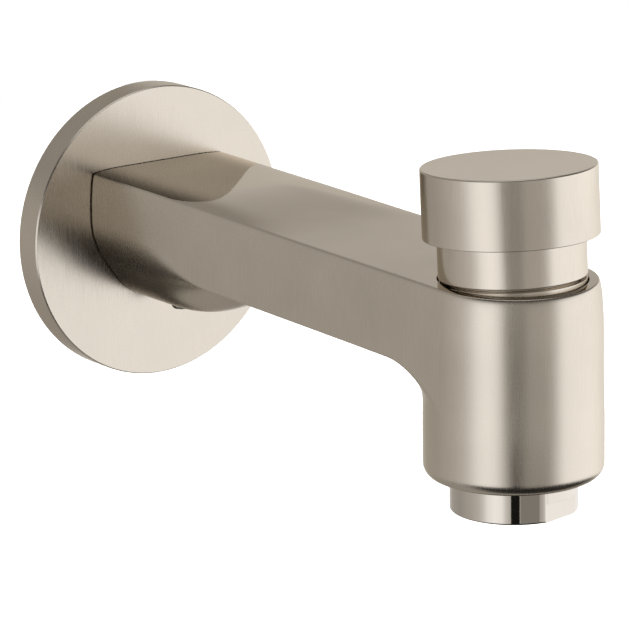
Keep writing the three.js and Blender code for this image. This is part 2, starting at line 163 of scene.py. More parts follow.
def rounded(points, closed):
    """Corners given as (r, z, radius) become arcs."""
    made = []
    last = len(points) - 1
    for i, corner in enumerate(points):
        here = Vector(corner[:2])
        radius = corner[2] if len(corner) > 2 else 0
        inner = closed or 0 < i < last
        if not radius or not inner:
            made.append(here)
            continue
        before = (Vector(points[i - 1][:2]) - here).normalized()
        after = (Vector(points[(i + 1) % len(points)][:2]) - here).normalized()
        half = before.angle(after) / 2
        centre = here + (before + after).normalized() * radius / math.sin(half)
        start = here + before * radius / math.tan(half) - centre
        end = here + after * radius / math.tan(half) - centre
        for k in range(ARC_STEPS + 1):
            made.append(centre + start.slerp(end, k / ARC_STEPS).normalized() * radius)
    return made


def turned(name, points, place, closed=False, sides=192):
    """A turned piece about Z, from corners given as (r, z) or (r, z, rounding)."""
    profile = rounded(points, closed)
    if closed:
        profile.append(profile[0])
    rows = []
    for r, z in profile:
        row = []
        for k in range(sides):
            turn = 2 * math.pi * k / sides
            row.append(place @ Vector((r * math.cos(turn), r * math.sin(turn), z)))
        rows.append(row)
    return Shell().grid(rows, ring=True).build(name)


def joined(name, pieces):
    mesh = bmesh.new()
    for piece in pieces:
        mesh.from_mesh(piece.data)
        bpy.data.objects.remove(piece)
    data = bpy.data.meshes.new(name)
    mesh.to_mesh(data)
    mesh.free()
    whole = bpy.data.objects.new(name, data)
    bpy.context.scene.collection.objects.link(whole)
    return whole


def cut(piece, tool):
    """Takes the tool out of the piece, and removes the tool."""
    modifier = piece.modifiers.new("cut", "BOOLEAN")
    modifier.object = tool
    modifier.solver = "EXACT"
    depsgraph = bpy.context.evaluated_depsgraph_get()
    data = bpy.data.meshes.new_from_object(piece.evaluated_get(depsgraph))
    piece.modifiers.clear()
    piece.data = data
    bpy.data.objects.remove(tool)
    return piece


def soften(piece, width, angle=SHARP_ANGLE):
    """Rounds the edges that a cut left sharp."""
    bevel = piece.modifiers.new("soft edges", "BEVEL")
    bevel.width = width * MM
    bevel.segments = 3
    bevel.limit_method = "ANGLE"
    bevel.angle_limit = math.radians(angle)
    depsgraph = bpy.context.evaluated_depsgraph_get()
    data = bpy.data.meshes.new_from_object(piece.evaluated_get(depsgraph))
    piece.modifiers.clear()
    piece.data = data
    return piece


def dress(piece, material, slot, body, *nodes):
    """Gives a piece its looks and body, and lets it stand for the CAD nodes; its slot is not used.
    """
    data = piece.data
    data.materials.clear()
    data.materials.append(material)
    data.shade_smooth()
    data.set_sharp_from_angle(angle=math.radians(SHARP_ANGLE))
    weighted = piece.modifiers.new("normals", "WEIGHTED_NORMAL")
    weighted.keep_sharp = True
    weighted.weight = 100
    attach(piece, body)
    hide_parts(*nodes)
    return piece


# ---- camera ----

CAMERA_PLACE = (-0.6289, -0.9489, 0.2685)
CAMERA_AZIMUTH = math.radians(-35.849)
CAMERA_ELEVATION = math.radians(14.506)
CAMERA_ROLL = math.radians(-0.877)
CAMERA_LENS = 248.25


def make_camera():
    azimuth, elevation, roll = CAMERA_AZIMUTH, CAMERA_ELEVATION, CAMERA_ROLL
    back = Vector((
        math.sin(azimuth) * math.cos(elevation),
        -math.cos(azimuth) * math.cos(elevation),
        math.sin(elevation),
    ))
    right = (-back).cross(Vector((0, 0, 1))).normalized()
    up = right.cross(-back)
    across = right * math.cos(roll) + up * math.sin(roll)
    upward = up * math.cos(roll) - right * math.sin(roll)
    turn = Matrix((across, upward, back)).transposed().to_4x4()
    data = bpy.data.cameras.new("camera")
    data.sensor_width = 36
    data.lens = CAMERA_LENS
    data.clip_end = 20
    camera = bpy.data.objects.new("camera", data)
    camera.matrix_world = Matrix.Translation(CAMERA_PLACE) @ turn
    bpy.context.scene.collection.objects.link(camera)
    bpy.context.scene.camera = camera


# ---- materials ----

NICKEL = (0.64, 0.585, 0.51)
NICKEL_AT_GRAZING = (0.88, 0.84, 0.78, 1)
BRUSH_LINES = (4200, 4200, 110)         # features a metre: brush lines that run up and down


def new_material(name):
    material = bpy.data.materials.new(name)
    material.use_nodes = True
    tree = material.node_tree
    shader = next(n for n in tree.nodes if n.type == "BSDF_PRINCIPLED")
    return material, tree, shader


def noise(tree, stretch, detail=3.0, seed=0.0):
    """Noise in object space: stretch is features a metre along x, y and z."""
    where = tree.nodes.new("ShaderNodeTexCoord")
    mapping = tree.nodes.new("ShaderNodeMapping")
    mapping.inputs["Scale"].default_value = stretch
    mapping.inputs["Location"].default_value = (seed, seed * 0.7, seed * 1.3)
    texture = tree.nodes.new("ShaderNodeTexNoise")
    texture.inputs["Scale"].default_value = 1.0
    texture.inputs["Detail"].default_value = detail
    tree.links.new(where.outputs["Object"], mapping.inputs["Vector"])
    tree.links.new(mapping.outputs["Vector"], texture.inputs["Vector"])
    return texture.outputs["Fac"]


def spread(tree, value, low, high):
    """Noise from its usual span to low..high."""
    node = tree.nodes.new("ShaderNodeMapRange")
    node.inputs["From Min"].default_value = 0.3
    node.inputs["From Max"].default_value = 0.7
    node.inputs["To Min"].default_value = low
    node.inputs["To Max"].default_value = high
    tree.links.new(value, node.inputs["Value"])
    return node.outputs["Result"]


def add(tree, a, b):
    node = tree.nodes.new("ShaderNodeMath")
    node.operation = "ADD"
    tree.links.new(a, node.inputs[0])
    tree.links.new(b, node.inputs[1])
    return node.outputs["Value"]


def tint(tree, value, dark, light):
    """Colour that goes from dark to light with the value."""
    node = tree.nodes.new("ShaderNodeMix")
    node.data_type = "RGBA"
    node.inputs["A"].default_value = (*dark, 1)
    node.inputs["B"].default_value = (*light, 1)
    tree.links.new(value, node.inputs["Factor"])
    return node.outputs["Result"]


def bump(tree, shader, value, distance, strength):
    node = tree.nodes.new("ShaderNodeBump")
    node.inputs["Distance"].default_value = distance
    node.inputs["Strength"].default_value = strength
    tree.links.new(value, node.inputs["Height"])
    tree.links.new(node.outputs["Normal"], shader.inputs["Normal"])


def brushed(name, colour, rough, cloud=0.03, depth=0.12, top=None):
    """Satin metal: fine brush lines, with faint cloudiness in gloss and colour.

    Rough is the span of roughness. A level top face may have a span of its own.
    """
    material, tree, shader = new_material(name)
    shader.inputs["Metallic"].default_value = 1.0
    shader.inputs["Specular Tint"].default_value = NICKEL_AT_GRAZING
    lines = noise(tree, BRUSH_LINES, detail=4.0)
    patches = noise(tree, (60, 60, 60), detail=2.0, seed=5.0)
    dark = [c * 0.95 for c in colour]
    light = [min(c * 1.05, 1) for c in colour]
    shade = spread(tree, add(tree, lines, patches), 0.0, 1.0)
    shade.node.inputs["From Min"].default_value = 0.7
    shade.node.inputs["From Max"].default_value = 1.3
    tree.links.new(tint(tree, shade, dark, light), shader.inputs["Base Color"])
    gloss = add(tree, spread(tree, lines, *rough), spread(tree, patches, 0, cloud))
    if top is not None:
        gloss = on_top(tree, gloss, spread(tree, lines, *top))
    tree.links.new(gloss, shader.inputs["Roughness"])
    bump(tree, shader, lines, 0.00001, depth)
    return material


def on_top(tree, value, top):
    """Another value on faces that look straight up."""
    surface = tree.nodes.new("ShaderNodeNewGeometry")
    split = tree.nodes.new("ShaderNodeSeparateXYZ")
    share = tree.nodes.new("ShaderNodeMapRange")
    share.interpolation_type = "SMOOTHSTEP"
    share.inputs["From Min"].default_value = 0.8
    share.inputs["From Max"].default_value = 0.98
    mixed = tree.nodes.new("ShaderNodeMix")
    tree.links.new(surface.outputs["Normal"], split.inputs["Vector"])
    tree.links.new(split.outputs["Z"], share.inputs["Value"])
    tree.links.new(share.outputs["Result"], mixed.inputs["Factor"])
    tree.links.new(value, mixed.inputs["A"])
    tree.links.new(top, mixed.inputs["B"])
    return mixed.outputs["Result"]


def polished(name, colour):
    """Mirror plate with the faintest orange peel and hairline wear."""
    material, tree, shader = new_material(name)
    shader.inputs["Metallic"].default_value = 1.0
    patches = noise(tree, (140, 140, 140), detail=2.0)
    hair = noise(tree, (400, 400, 5000), detail=3.0, seed=9.0)
    dark = [c * 0.97 for c in colour]
    shade = spread(tree, patches, 0.0, 1.0)
    tree.links.new(tint(tree, shade, dark, colour), shader.inputs["Base Color"])
    tree.links.new(spread(tree, hair, 0.03, 0.07), shader.inputs["Roughness"])
    bump(tree, shader, patches, 0.00002, 0.05)
    return material


def machined(name, colour, rough=(0.22, 0.38)):
    """Turned brass or steel, left bare inside."""
    material, tree, shader = new_material(name)
    shader.inputs["Metallic"].default_value = 1.0
    lines = noise(tree, (500, 500, 6000), detail=3.0)
    patches = noise(tree, (220, 220, 220), detail=4.0, seed=3.0)
    dark = [c * 0.82 for c in colour]
    shade = spread(tree, patches, 0.0, 1.0)
    tree.links.new(tint(tree, shade, dark, colour), shader.inputs["Base Color"])
    tree.links.new(spread(tree, lines, *rough), shader.inputs["Roughness"])
    bump(tree, shader, lines, 0.00002, 0.25)
    return material


def moulded(name, colour, rough, grain=900, depth=0.3):
    """Moulded rubber, foam or plastic with a fine grain."""
    material, tree, shader = new_material(name)
    fine = noise(tree, (grain,) * 3, detail=4.0)
    patches = noise(tree, (120,) * 3, detail=2.0, seed=4.0)
    dark = [c * 0.85 for c in colour]
    shade = spread(tree, patches, 0.0, 1.0)
    tree.links.new(tint(tree, shade, dark, colour), shader.inputs["Base Color"])
    tree.links.new(spread(tree, fine, rough - 0.06, rough + 0.06), shader.inputs["Roughness"])
    bump(tree, shader, fine, 0.00005, depth)
    return material


# ---- spout body ----

FILLET_LOW = UNDER_Z - UNDER_FILLET


def body_r(z):
    """Radius of the front body under its rim: the casting drafts out a little."""
    return lerp(SIDE_R, BODY_R, smooth((-6 - z) / 14))


FILLET_R = body_r(FILLET_LOW) + UNDER_FILLET
REAR_HALF = math.asin(SIDE_R / FILLET_R)      # half angle that the fillet's outer ring spans
RIM_STEPS = [0, 5, 10, 16, 24, 33, 43, 54, 66, 78, 90]      # degrees round the side
LINE_STEPS = 6
CORNER_STEPS = 9
TOP_STEPS = 9
LOWER_STEPS = 32
FINE_STEPS = 40
FLARE = 12                                    # length of the side's flare


def side_x(z, behind):
    """Half width of the arm's side, flared to meet the front body without a step."""
    return SIDE_R + (body_r(z) - SIDE_R) * (1 - smooth(behind / FLARE))


def top_z(behind):
    """Height of the flat top face, by distance behind the front body's axis."""
    return RIM_Z + TOP_SLOPE * behind


def hole_edge(turn, radius=HOLE_R):
    """Where a cylinder about the diverter's axis meets the top face."""
    x, y = radius * math.sin(turn), -radius * math.cos(turn)
    lean, level = math.sin(TILT), math.cos(TILT)
    h = y * (lean + TOP_SLOPE * level) / (level - TOP_SLOPE * lean)
    return tuple(DIVERTER @ Vector((x, y, h)))


def polar(turn, r, z):
    """Point about the front body's axis; turn is 0 in front."""
    return (r * math.sin(turn), -REACH - r * math.cos(turn), z)


def resampled(points, fractions):
    """Points at those shares of a polyline's length."""
    points = [Vector(p) for p in points]
    lengths = [0.0]
    for a, b in zip(points, points[1:]):
        lengths.append(lengths[-1] + (b - a).length)
    made = []
    k = 0
    for share in fractions:
        want = share * lengths[-1]
        while k < len(points) - 2 and lengths[k + 1] < want:
            k += 1
        step = max(lengths[k + 1] - lengths[k], 1e-9)
        made.append(points[k].lerp(points[k + 1], (want - lengths[k]) / step))
    return made


def top_row(turn, r):
    """From the bonnet's hole out to radius r on the top face."""
    inner = Vector(hole_edge(turn))
    outer = Vector(polar(turn, r, top_z(-r * math.cos(turn))))
    return [inner.lerp(outer, k / TOP_STEPS) for k in range(TOP_STEPS + 1)]


def lower_line(turn, edge_r, edge_z):
    """Radius and height from the arm's lower edge, by the fillet, down the front body."""
    behind = max(-math.cos(turn), 0)
    line = [(edge_r, edge_z)]
    start_z = edge_z
    if math.cos(turn) < 0:
        first = math.acos(max(-1, min(1, (edge_r - FILLET_R) / UNDER_FILLET)))
        for k in range(1, FINE_STEPS + 1):
            a = lerp(first, math.pi, k / FINE_STEPS)
            r = FILLET_R + UNDER_FILLET * math.cos(a)
            z = FILLET_LOW + UNDER_FILLET * math.sin(a) + UNDER_SLOPE * r * behind
            line.append((r, z))
        start_z = line[-1][1]
    foot = BODY_BOTTOM + BODY_EDGE
    for k in range(1, FINE_STEPS + 1):
        z = lerp(start_z, foot, k / FINE_STEPS)
        line.append((body_r(z), z))
    return line


def edge_round(turn):
    """Rounding of the arm's lower edge, which widens until it melts into the front body."""
    from_rear = abs(math.pi - abs(turn))
    share = smooth((from_rear - REAR_HALF) / math.radians(34))
    return lerp(LOWER_EDGE, FRONT_EDGE, share)


def lower_part(turn, line):
    """The lower line after its rounded corner, the bottom edge and the bottom face."""
    length = sum((Vector(a) - Vector(b)).length for a, b in zip(line, line[1:]))
    first = edge_round(turn) / length
    shares = [lerp(first, 1, k / LOWER_STEPS) for k in range(LOWER_STEPS + 1)]
    points = resampled(line, shares)
    centre_r, centre_z = BODY_R - BODY_EDGE, BODY_BOTTOM + BODY_EDGE
    for k in range(1, 9):
        a = -math.pi / 2 * k / 8
        points.append((centre_r + BODY_EDGE * math.cos(a), centre_z + BODY_EDGE * math.sin(a)))
    points += [(lerp(centre_r, 14.5, k / 3), BODY_BOTTOM) for k in (1, 2, 3)]
    return [polar(turn, r, z) for r, z in points]


def bent(a, corner, b, steps):
    """Points between a and b of the curve that rounds the corner."""
    a, corner, b = Vector(a), Vector(corner), Vector(b)
    shares = [k / (steps + 1) for k in range(1, steps + 1)]
    return [a.lerp(corner, t).lerp(corner.lerp(b, t), t) for t in shares]


def lower_edge(turn):
    """Radius and height of the arm's lower edge, or a point of the plain cylinder in front."""
    if math.cos(turn) >= -1e-9:
        ahead = math.degrees(math.asin(max(0, min(1, math.cos(turn)))))
        z = lerp(FILLET_LOW, -13, smooth(ahead / 25))
        return body_r(z), z
    across, back = abs(math.sin(turn)), -math.cos(turn)
    low, high = FILLET_LOW, FILLET_LOW + UNDER_FILLET
    for _ in range(50):
        middle = (low + high) / 2
        r = FILLET_R - math.sqrt(max(UNDER_FILLET**2 - (middle - FILLET_LOW) ** 2, 0))
        if r < side_x(middle, r * back) / across:
            low = middle
        else:
            high = middle
    r = side_x(low, SIDE_R * back / across) / across
    return r, low + UNDER_SLOPE * r * back


def side_part(turn):
    """From the rim down the side to the lower edge, rounding included."""
    across = abs(math.sin(turn)) if math.cos(turn) < 0 else 1.0
    back = max(-math.cos(turn), 0)
    edge_r, edge_z = lower_edge(turn)
    points = []
    for degrees in RIM_STEPS:
        a = math.radians(degrees)
        r = (RIM_R + (SIDE_R - RIM_R) * math.sin(a)) / across
        behind = -r * math.cos(turn)
        points.append((r, top_z(behind) - SIDE_ROUND * (1 - math.cos(a))))
    last_z = points[-1][1]
    for k in range(1, LINE_STEPS + 1):
        z = lerp(last_z, edge_z + edge_round(turn), k / LINE_STEPS)
        if math.cos(turn) < 0:
            r = side_x(z, SIDE_R * back / across) / across
        else:
            r = body_r(z)
        points.append((r, z))
    return points, (edge_r, edge_z)


def fan_column(turn):
    """Top, side and lower points of the front body in one direction."""
    side, edge = side_part(turn)
    line = lower_line(turn, *edge)
    lower = lower_part(turn, line)
    top = top_row(turn, side[0][0])
    upper = [polar(turn, r, z) for r, z in side]
    corner = bent(upper[-1], polar(turn, *edge), lower[0], CORNER_STEPS)
    return top, upper[1:] + corner, lower


def arm_section(out, shares):
    """One section of the arm, as top, side and bottom points of its right half."""
    behind = REACH - out
    roll = 1 - smooth((out - 50) / 50)

    def crown(x):
        edge = max((x - CROWN_FLAT) / (RIM_R - CROWN_FLAT), 0)
        return top_z(behind) + roll * (CROWN_LIFT - CROWN_DROP * edge**4)

    edge_z = crown(RIM_R)
    corner_z = lerp(CORNER_WALL_Z, UNDER_Z + UNDER_SLOPE * behind, smooth((out - FLANGE_T) / 44))
    corner_r = lerp(CORNER_WALL_R, CORNER_R, smooth((out - 22) / 38))
    run = min(max(out - BOSS_STRAIGHT, 0), BOSS_SWEEP * 0.8)
    sweep = BOSS_SWEEP - math.sqrt(BOSS_SWEEP**2 - run**2)
    centre_z = soft_min(sweep, corner_z + BOSS_R, 5)
    dx, dz = SIDE_R, corner_z - centre_z
    touch = math.atan2(dz, dx) - math.acos(min(BOSS_R / math.hypot(dx, dz), 1))
    bend = -touch
    arc_z = corner_z + corner_r * math.tan(bend / 2)

    top = [(RIM_R * share, crown(RIM_R * abs(share))) for share in shares]
    depth = min(SIDE_ROUND, edge_z - arc_z)
    side = []
    for degrees in RIM_STEPS[1:]:
        a = math.radians(degrees)
        side.append((RIM_R + (SIDE_R - RIM_R) * math.sin(a), edge_z - depth * (1 - math.cos(a))))
    for k in range(1, LINE_STEPS + 1):
        side.append((SIDE_R, lerp(edge_z - depth, arc_z, k / LINE_STEPS)))
    for k in range(1, CORNER_STEPS + 1):
        a = -bend * k / (CORNER_STEPS + 1)
        side.append((SIDE_R - corner_r + corner_r * math.cos(a), arc_z + corner_r * math.sin(a)))
    under = [(SIDE_R - corner_r + corner_r * math.cos(bend), arc_z - corner_r * math.sin(bend))]
    for k in range(FINE_STEPS + 1):
        a = lerp(touch, -math.pi / 2, k / FINE_STEPS)
        under.append((BOSS_R * math.cos(a), centre_z + BOSS_R * math.sin(a)))
    return top, side, under


def arm_loop(out, shares, squeeze=1.0):
    """The whole section as one loop: top from right to left, left side, bottom, right side."""
    top, side, under = arm_section(out, shares)
    half = [share for share in shares if share >= -1e-9]
    right = resampled(under, [1 - share for share in half])
    bottom = [(x, z) for x, z in right] + [(-x, z) for x, z in reversed(right[:-1])]
    left = [(-x, z) for x, z in side]
    loop = top + left + bottom[::-1] + side[::-1]
    return [(x * squeeze, -out, z * squeeze) for x, z in loop]


def arm_loops(shares):
    """Loops from the front body back to the wall, then down into the inlet."""
    stations = [124, 118, 108, 98, 90, 84]
    stations += [80 - 2 * k for k in range(36)]
    loops = [arm_loop(out, shares) for out in stations]
    wall_out = FLANGE_T + GAP
    for rise, squeeze in [(0.32, 1.0), (0.25, 0.997), (0.25, 0.965), (0, 0.965)]:
        loops.append(arm_loop(wall_out + rise, shares, squeeze))
    for r, out in [(SPIGOT_R, wall_out), (SPIGOT_R, 1.4), (SPIGOT_R - 0.4, 1.0),
                   (INLET_R + 0.3, 1.0), (INLET_R, 1.3), (INLET_R, INLET_DEPTH),
                   (0, INLET_DEPTH)]:
        ring = []
        for x, _, z in arm_loop(wall_out, shares):
            turn = math.atan2(z, x)
            ring.append((r * math.cos(turn), -out, r * math.sin(turn)))
        loops.append(ring)
    return loops


def bore_rows(turns):
    """The way down through the front body, for the bonnet, the valve and the outlet."""
    rows = [[hole_edge(turn) for turn in turns]]
    rows.append([Vector(hole_edge(turn, SEAT_R)) - Vector((0, 0, 0.15)) for turn in turns])
    for r, h in [(SEAT_R, -3), (THREAD_R, -3), (THREAD_R, BORE_LOW), (12.3, BORE_LOW),
                 (12.3, -27.5)]:
        rows.append([DIVERTER @ Vector((r * math.sin(t), -r * math.cos(t), h)) for t in turns])
    for r, z in [(13.1, -12.2), (13.1, OUTLET_SHOULDER), (14.3, OUTLET_SHOULDER),
                 (14.3, -32.3), (14.5, BODY_BOTTOM)]:
        rows.append([polar(t, r, z) for t in turns])
    return rows


def spout_shell():
    """The whole casting: front body, arm, boss and the way through the front body."""
    limit = math.pi - REAR_HALF
    count = 68
    fan_turns = [limit * k / count for k in range(-count, count + 1)]
    rear_count = 22
    rear_turns = [limit + REAR_HALF * k / rear_count for k in range(2 * rear_count + 1)]
    fan = [fan_column(turn) for turn in fan_turns]
    shell = Shell()
    shell.grid([top + side + lower for top, side, lower in fan])

    top_r = RIM_R / math.sin(REAR_HALF)
    rear_tops = [top_row(turn, top_r) for turn in rear_turns]
    ring_z = FILLET_LOW + UNDER_FILLET
    rear_lowers = []
    for turn in rear_turns:
        edge_z = ring_z + UNDER_SLOPE * FILLET_R * -math.cos(turn)
        rear_lowers.append(lower_part(turn, lower_line(turn, FILLET_R, edge_z)))
    # The fan's last columns close the rear ones exactly.
    rear_lowers[0], rear_lowers[-1] = fan[-1][2], fan[0][2]
    shell.grid(rear_tops)
    shell.grid(rear_lowers)

    # The arm: its first loop follows the ring where the front body's part ends.
    shares = [math.sin(turn) / math.sin(limit) for turn in rear_turns]
    first = [row[-1] for row in rear_tops]
    first += fan[0][1]
    first += [row[0] for row in reversed(rear_lowers)]
    first += fan[-1][1][::-1]
    shell.grid([first] + arm_loops(shares), ring=True)

    shell.grid(bore_rows(fan_turns[:-1] + rear_turns[:-1]), ring=True)
    return shell


def spout_body():
    body = spout_shell().build("spout_body_cast")
    place = Matrix.Translation((0, SCREW_Y, 0))
    drill = [(0, -26), (SCREW_HOLE_R, -26), (SCREW_HOLE_R, -11.5), (0, -11.5)]
    return cut(body, turned("screw_hole", drill, place, sides=64))


make_camera()

# ---- other visible pieces ----

def escutcheon():
    inner, hole, back = FLANGE_R - FLANGE_SKIN, SPIGOT_R + 0.4, -FLANGE_T + FLANGE_SKIN
    return turned("escutcheon_plate", [
        (hole, -FLANGE_T, 0.2), (FLANGE_R - 0.26, -FLANGE_T, 0.1),
        (FLANGE_R, -FLANGE_T + 0.44, 0.2), (FLANGE_R, 0, 0.2), (inner, 0, 0.2),
        (inner, back, 0.8), (hole, back, 0.2),
    ], WALL_AXIS, closed=True, sides=288)


def gasket():
    outer = FLANGE_R - FLANGE_SKIN - GAP
    return turned("wall_gasket", [
        (outer - 4, -5.8, 0.5), (outer, -5.8, 0.5), (outer, -0.2, 0.9), (outer - 4, -0.2, 0.9),
    ], WALL_AXIS, closed=True)


def inlet_adapter():
    outer = INLET_R - GAP
    return turned("inlet_adapter_turned", [
        (8.05, -1.5, 0.4), (outer, -1.5, 0.4), (outer, -14.5, 0.1), (10.8, -14.9, 0.1),
        (10.8, -21.1, 0.1), (outer, -21.5, 0.1), (outer, -27, 0.1), (9.6, -27), (9.6, -30),
        (outer, -30, 0.1), (outer, -34, 0.1), (9.6, -34), (9.6, -37), (outer, -37, 0.1),
        (outer, -42, 0.6), (6.5, -42, 0.2), (6.5, -38), (8.05, -38),
    ], WALL_AXIS, closed=True, sides=128)


def threaded(name, place, radius, low, high, socket, depth, pitch):
    """Headless screw, its hex socket at the low end: ridges stand for its fine thread."""
    points = [(0, low), (radius - 0.55, low, 0.1), (radius - 0.28, low + 0.3)]
    z = low + 0.3 + pitch / 2
    while z < high - 1.2 - pitch:
        points += [(radius, z), (radius - 0.28, z + pitch / 2)]
        z += pitch
    points += [(radius - 0.28, high - 1.3), (radius * 0.6, high, 0.2), (0, high)]
    screw = turned(name, points, place, sides=72)
    drill = [(0, low - 1), (socket, low - 1), (socket, low + depth), (0, low + depth + 0.5)]
    return cut(screw, turned("hex", drill, place, sides=6))


def set_screw():
    return threaded("set_screw_m6", Matrix.Translation((0, SCREW_Y, 0)), 2.85, -19.3, -11.2,
                    1.73, 3, 1.0)


def grub_screw():
    turn = Matrix.Rotation(math.pi / 2, 4, "X")
    place = DIVERTER @ Matrix.Translation((0, 0, GRUB_H)) @ turn
    return threaded("grub_screw_m4", place, 1.9, -20.6, -16.3, 1.15, 2, 0.7)


def bonnet():
    return turned("bonnet_collar", [
        (10.9, -19.5, 0.2), (13, -19.5, 0.3), (13, -9), (15.3, -9, 0.2), (15.3, -7.4, 0.1),
        (12.9, -7.4), (12.9, -4.4), (15.3, -4.4, 0.1), (15.3, -2.7), (17.9, -2.7, 0.2),
        (17.9, -0.1, 0.1), (15.8, -0.1, 0.1), (15.8, 8.5, 0.5), (5, 8.5, 0.2), (5, 4.5, 0.2),
        (10.9, 4.5, 0.3),
    ], DIVERTER, closed=True, sides=256)


def spring():
    """Round wire spring: its end coils lie close together, the ones between are open."""
    wire, radius, turns = 0.55, 8.8, 6.5
    close, close_pitch = 0.9, 1.15       # turns at each end, and their rise in a turn
    count, sides = 312, 16
    low, high = SPRING_LOW + wire, SPRING_HIGH - wire
    rise = close_pitch * close
    rows = []
    for k in range(count + 1):
        done = turns * k / count
        if done < close:
            z = low + rise * done / close
        elif done > turns - close:
            z = high - rise * (turns - done) / close
        else:
            z = lerp(low + rise, high - rise, (done - close) / (turns - 2 * close))
        turn = 2 * math.pi * done
        outward = Vector((math.cos(turn), math.sin(turn), 0))
        centre = outward * radius + Vector((0, 0, z))
        row = []
        for i in range(sides):
            a = 2 * math.pi * i / sides
            rim = outward * math.cos(a) + Vector((0, 0, math.sin(a)))
            row.append(DIVERTER @ (centre + rim * wire))
        if k in (0, count):
            cap = [DIVERTER @ centre] * sides
            rows += [cap, row] if k == 0 else [row, cap]
        else:
            rows.append(row)
    return Shell().grid(rows, ring=True).build("return_spring")


def radial_tool(radius, start, end):
    """A round hole towards the wall, through the knob's rear."""
    turn = Matrix.Rotation(-math.pi / 2, 4, "X")
    place = DIVERTER @ Matrix.Translation((0, 0, GRUB_H)) @ turn
    return turned("radial", [(0, start), (radius, start), (radius, end), (0, end)], place,
                  sides=64)


def knob_sleeve():
    sleeve = turned("knob_neck", [
        (16.1, 0.65, 0.15), (NECK_R, 0.65, 0.3), (NECK_R, 10.2, 0.1), (16.9, 10.2), (16.9, 16.6),
        (6, 16.6), (6, 12, 0.2), (16.1, 12, 0.2),
    ], DIVERTER, closed=True, sides=256)
    return cut(sleeve, radial_tool(GRUB_R, 15.9, 18))


def knob_cap():
    cap = turned("knob_cap_turned", [
        (17.2, KNOB_LOW, 0.15), (KNOB_R, KNOB_LOW, 0.2), (KNOB_R, KNOB_TOP, 0.45), (0, KNOB_TOP),
        (0, 22.4), (9.2, 22.4), (9.2, 16.9), (17.2, 16.9),
    ], DIVERTER, closed=True, sides=288)
    return cut(cap, radial_tool(GRUB_R, 10, 25))


def wrench_tool(turn):
    """Block that leaves one wrench flat on the outlet ring."""
    spin = Matrix.Rotation(turn, 4, "Z")
    rows = []
    for z in (RING_LOW - 1, FLAT_TOP):
        row = []
        for x, y in [(0, -20), (4, -20), (4, 20), (0, 20)]:
            row.append(OUTLET @ spin @ Vector((FLAT_R + x, y, z)))
        rows.append(row)
    middle = [sum(row, Vector()) / 4 for row in rows]
    rows = [[middle[0]] * 4, *rows, [middle[1]] * 4]
    return Shell().grid(rows, ring=True).build("wrench")


def aerator_housing():
    ring = turned("outlet_ring", [
        (10.8, RING_LOW, 0.5), (RING_R, RING_LOW, 0.5), (RING_R, -32.8, 0.25), (14, -32.8),
        (14, -27.5, 0.4), (12.2, -27.5, 0.2), (12.2, -38.6), (10.8, -38.6, 0.2),
    ], OUTLET, closed=True, sides=256)
    ring = cut(ring, wrench_tool(FLAT_TURN))
    return soften(cut(ring, wrench_tool(FLAT_TURN + math.pi)), 0.15)


def aerator_screen():
    disc = turned("outlet_screen", [
        (0, -38.3), (SCREEN_R, -38.3, 0.15), (SCREEN_R, -37.3, 0.15), (0, -37.3),
    ], OUTLET, sides=96)
    pitch, reach = 3.1, 9
    drills = []
    for row in range(-3, 4):
        for column in range(-3, 4):
            x = (column + (0.5 if row % 2 else 0)) * pitch
            y = row * pitch * math.sqrt(3) / 2
            if math.hypot(x, y) > reach:
                continue
            place = OUTLET @ Matrix.Translation((x, y, 0))
            drills.append(turned("drill", [
                (0, -39), (1.5, -39), (1.15, -38.15), (1.15, -36), (0, -36),
            ], place, sides=24))
    return cut(disc, joined("drills", drills))


# ---- the object ----

plate_nickel = brushed("flange_nickel", NICKEL, (0.2, 0.28))
cast_nickel = brushed("body_nickel", NICKEL, (0.21, 0.27), depth=0.06, top=(0.03, 0.06))
knob_nickel = brushed("knob_nickel", NICKEL, (0.19, 0.25), depth=0.06)
neck_nickel = brushed("neck_nickel", NICKEL, (0.17, 0.23), depth=0.06)
ring_nickel = polished("ring_nickel", (0.62, 0.575, 0.515))
bare_brass = machined("bare_brass", (0.66, 0.46, 0.2))
bare_steel = machined("bare_steel", (0.43, 0.42, 0.4))
black_rubber = moulded("black_rubber", (0.02, 0.02, 0.021), 0.6)
grey_foam = moulded("grey_foam", (0.05, 0.05, 0.052), 0.9, grain=1600, depth=0.8)
white_acetal = moulded("white_acetal", (0.74, 0.73, 0.69), 0.42, grain=600, depth=0.1)

dress(spout_body(), cast_nickel, "nickel", "spout", "spout_body")
dress(escutcheon(), plate_nickel, "nickel", "spout", "escutcheon")
dress(gasket(), grey_foam, "foam", "spout", "escutcheon_gasket")
dress(inlet_adapter(), bare_brass, "brass", "spout", "inlet_adapter")
dress(set_screw(), bare_steel, "steel", "spout", "set_screw")
dress(bonnet(), neck_nickel, "nickel", "spout", "bonnet")
dress(aerator_housing(), ring_nickel, "polished_nickel", "spout", "aerator_housing")
dress(aerator_screen(), white_acetal, "plastic", "spout", "aerator_screen")
dress(knob_sleeve(), neck_nickel, "nickel", "diverter", "knob_sleeve")
dress(knob_cap(), knob_nickel, "nickel", "diverter", "knob_cap")
dress(grub_screw(), bare_steel, "steel", "diverter", "knob_grub_screw")

coil = dress(spring(), bare_steel, "steel", "spout", "diverter_spring")
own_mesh(coil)

inside = {
    black_rubber: ["inlet_o_ring_rear", "inlet_o_ring_front", "bonnet_o_ring", "piston_o_ring",
                   "valve_washer", "aerator_washer"],
    bare_brass: ["valve_seat", "diverter_stem", "valve_disc", "valve_nut"],
    white_acetal: ["stem_bush", "piston", "knob_insert", "aerator_insert"],
}
for material, names in inside.items():
    for name in names:
        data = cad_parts[name].data
        data.materials.clear()
        data.materials.append(material)


# ---- floor and light ----

FLOOR_HALF = 1.4             # metres, as are the other measures of the studio
FLOOR_Z = -0.3


